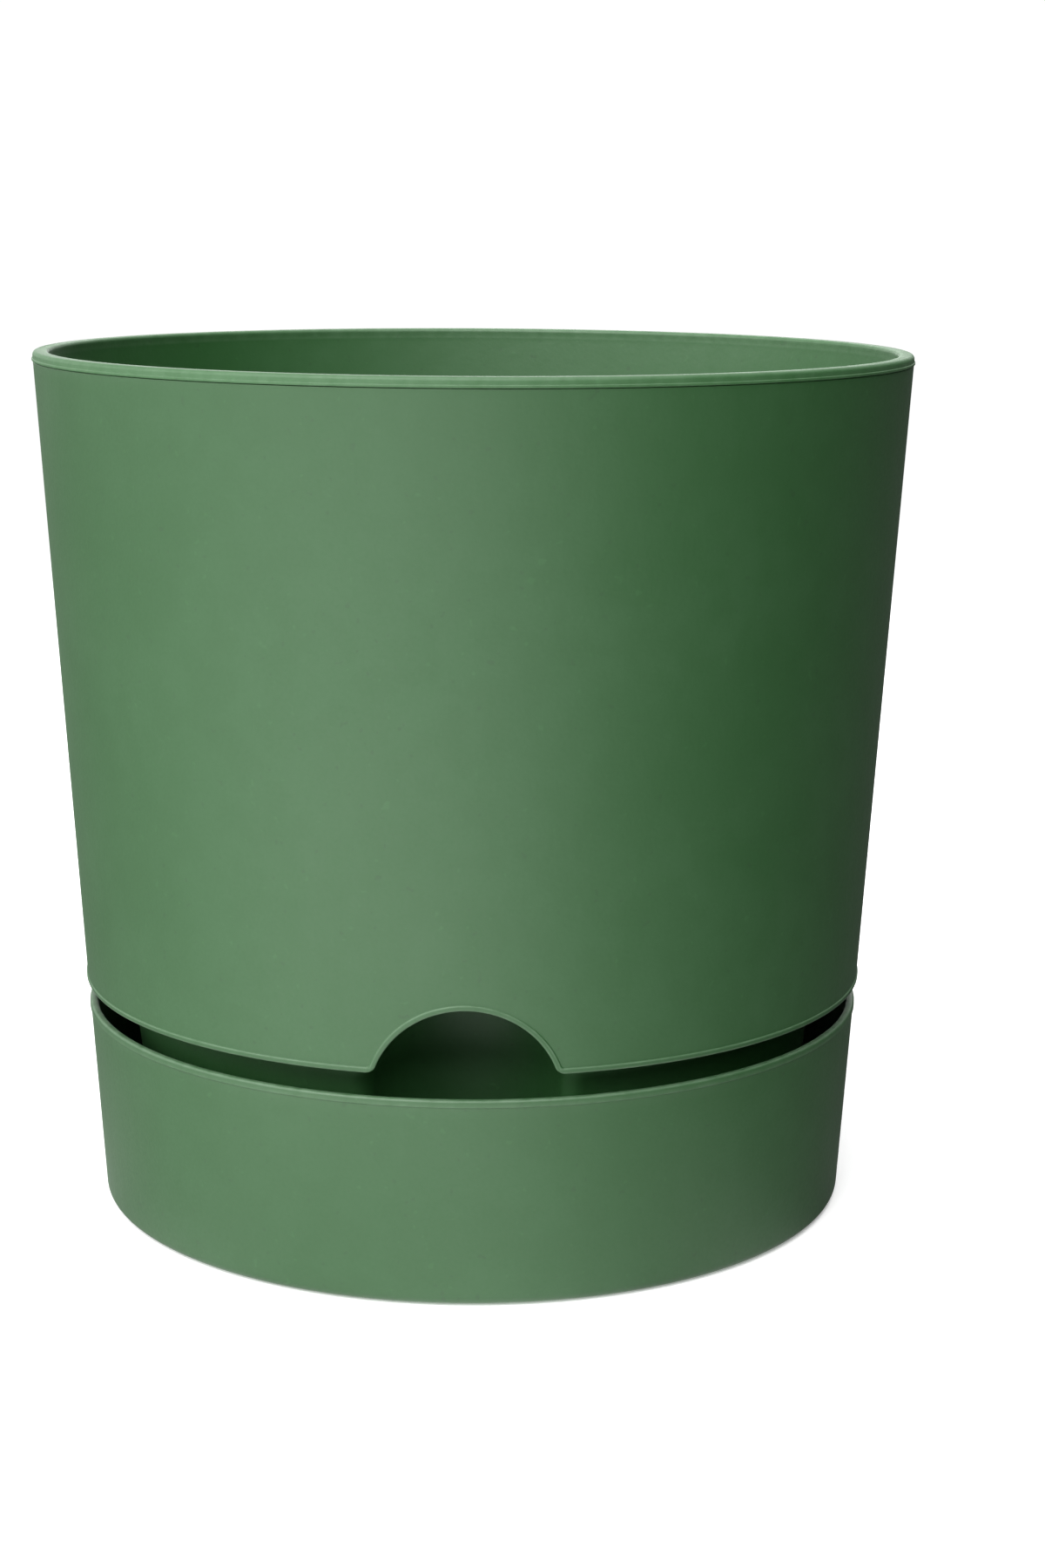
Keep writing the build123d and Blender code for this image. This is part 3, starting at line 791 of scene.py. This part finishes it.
# the plain floor runs out into an even white sweep
fgeo = fnt.nodes.new("ShaderNodeNewGeometry")
flen = fnt.nodes.new("ShaderNodeVectorMath")
flen.operation = "LENGTH"
fnt.links.new(fgeo.outputs["Position"], flen.inputs[0])
far = remap(fnt, flen.outputs["Value"], 0.55, 1.9, 0.0, 1.0, "SMOOTHSTEP")
fem = fnt.nodes.new("ShaderNodeEmission")
fem.inputs["Strength"].default_value = 1.02
fmix = fnt.nodes.new("ShaderNodeMixShader")
fnt.links.new(far, fmix.inputs[0])
fnt.links.new(fsh.outputs[0], fmix.inputs[1])
fnt.links.new(fem.outputs[0], fmix.inputs[2])
fout = [n for n in fnt.nodes if n.type == "OUTPUT_MATERIAL"][0]
# what the object itself sees of the floor: light bounced up on the side of the main light, and little elsewhere
fdim = fnt.nodes.new("ShaderNodeBsdfDiffuse")
fdim.inputs["Color"].default_value = (0.07, 0.07, 0.07, 1)
fdir = fnt.nodes.new("ShaderNodeVectorMath")
fdir.operation = "NORMALIZE"
fnt.links.new(fgeo.outputs["Position"], fdir.inputs[0])


def bounce(az, strength):
    """The part of the floor that lies on one side of the object, fading out to both sides."""
    dot = fnt.nodes.new("ShaderNodeVectorMath")
    dot.operation = "DOT_PRODUCT"
    dot.inputs[1].default_value = (math.sin(math.radians(az)), -math.cos(math.radians(az)), 0)
    fnt.links.new(fdir.outputs[0], dot.inputs[0])
    return remap(fnt, dot.outputs["Value"], 0.60, 1.0, 0.0, strength, "SMOOTHSTEP")


def total_of(nt, values):
    out = values[0]
    for v in values[1:]:
        out = math_node(nt, "ADD", out, v)
    return out


near = total_of(fnt, [bounce(*v) for v in BOUNCE_NEAR])
away = total_of(fnt, [bounce(*v) for v in BOUNCE_FAR])
near = math_node(fnt, "MULTIPLY", near, remap(fnt, flen.outputs["Value"], 0.16, 0.32, 1.0, 0.0, "SMOOTHSTEP"))
away = math_node(fnt, "MULTIPLY", away, remap(fnt, flen.outputs["Value"], 0.16, 0.32, 0.0, 1.0, "SMOOTHSTEP"))
away = math_node(fnt, "MULTIPLY", away, remap(fnt, flen.outputs["Value"], 1.5, 3.0, 1.0, 0.0, "SMOOTHSTEP"))
fcard = fnt.nodes.new("ShaderNodeEmission")
fnt.links.new(math_node(fnt, "ADD", near, away), fcard.inputs["Strength"])
fsum = fnt.nodes.new("ShaderNodeAddShader")
fnt.links.new(fdim.outputs[0], fsum.inputs[0])
fnt.links.new(fcard.outputs[0], fsum.inputs[1])
flp = fnt.nodes.new("ShaderNodeLightPath")
fpick = fnt.nodes.new("ShaderNodeMixShader")
fnt.links.new(flp.outputs["Is Camera Ray"], fpick.inputs[0])
fnt.links.new(fsum.outputs[0], fpick.inputs[1])
fnt.links.new(fmix.outputs[0], fpick.inputs[2])
fnt.links.new(fpick.outputs[0], fout.inputs["Surface"])
floor.data.materials.append(fmat)

world = bpy.data.worlds.new("studio")
bpy.context.scene.world = world
world.use_nodes = True
wn = world.node_tree
wn.nodes.clear()
wo = wn.nodes.new("ShaderNodeOutputWorld")
cam_bg = wn.nodes.new("ShaderNodeBackground")
cam_bg.inputs["Color"].default_value = (1, 1, 1, 1)
cam_bg.inputs["Strength"].default_value = 1.02
lit_bg = wn.nodes.new("ShaderNodeBackground")
lit_bg.inputs["Color"].default_value = (1, 1, 1, 1)
wtc = wn.nodes.new("ShaderNodeTexCoord")


def lobe(az, el, strength, edge=0.70):
    """A broad soft light in the surroundings, round one direction."""
    a, e = math.radians(az), math.radians(el)
    dot = wn.nodes.new("ShaderNodeVectorMath")
    dot.operation = "DOT_PRODUCT"
    dot.inputs[1].default_value = (math.sin(a) * math.cos(e), -math.cos(a) * math.cos(e), math.sin(e))
    wn.links.new(wtc.outputs["Generated"], dot.inputs[0])
    return remap(wn, dot.outputs["Value"], edge, 1.0, 0.0, strength, "SMOOTHSTEP")


total = total_of(wn, [lobe(*v) for v in SKY])
wn.links.new(total, lit_bg.inputs["Strength"])
lp = wn.nodes.new("ShaderNodeLightPath")
ms = wn.nodes.new("ShaderNodeMixShader")
wn.links.new(lp.outputs["Is Camera Ray"], ms.inputs[0])
wn.links.new(lit_bg.outputs[0], ms.inputs[1])
wn.links.new(cam_bg.outputs[0], ms.inputs[2])
wn.links.new(ms.outputs[0], wo.inputs["Surface"])

TURN = math.radians(0.9)
CAM = dict(x=1.59 * math.cos(TURN) + 837.52 * math.sin(TURN), y=1.59 * math.sin(TURN) - 837.52 * math.cos(TURN), z=295.44,
           yaw=0.01562 - TURN, pitch=0.20537, roll=0.00605, f=3277.3)
yaw, pitch, roll = CAM["yaw"], CAM["pitch"], CAM["roll"]
fwd = Vector((math.sin(yaw) * math.cos(pitch), math.cos(yaw) * math.cos(pitch), -math.sin(pitch)))
right = Vector((math.cos(yaw), -math.sin(yaw), 0))
up = right.cross(fwd)
r2 = right * math.cos(roll) + up * math.sin(roll)
u2 = up * math.cos(roll) - right * math.sin(roll)
cd = bpy.data.cameras.new("photo_camera")
cd.sensor_fit, cd.sensor_width = "AUTO", 36.0
cd.lens = 36.0 * CAM["f"] / 1800.0
cd.clip_start, cd.clip_end = 0.01, 100
cd.dof.use_dof = False
cam = bpy.data.objects.new("photo_camera", cd)
bpy.context.scene.collection.objects.link(cam)
m = Matrix(((r2.x, u2.x, -fwd.x, CAM["x"] * MM), (r2.y, u2.y, -fwd.y, CAM["y"] * MM), (r2.z, u2.z, -fwd.z, CAM["z"] * MM), (0, 0, 0, 1)))
cam.matrix_world = m
bpy.context.scene.camera = cam

bpy.context.scene.view_settings.view_transform = "Standard"
bpy.context.scene.view_settings.look = "None"
bpy.context.scene.view_settings.exposure = 0.0
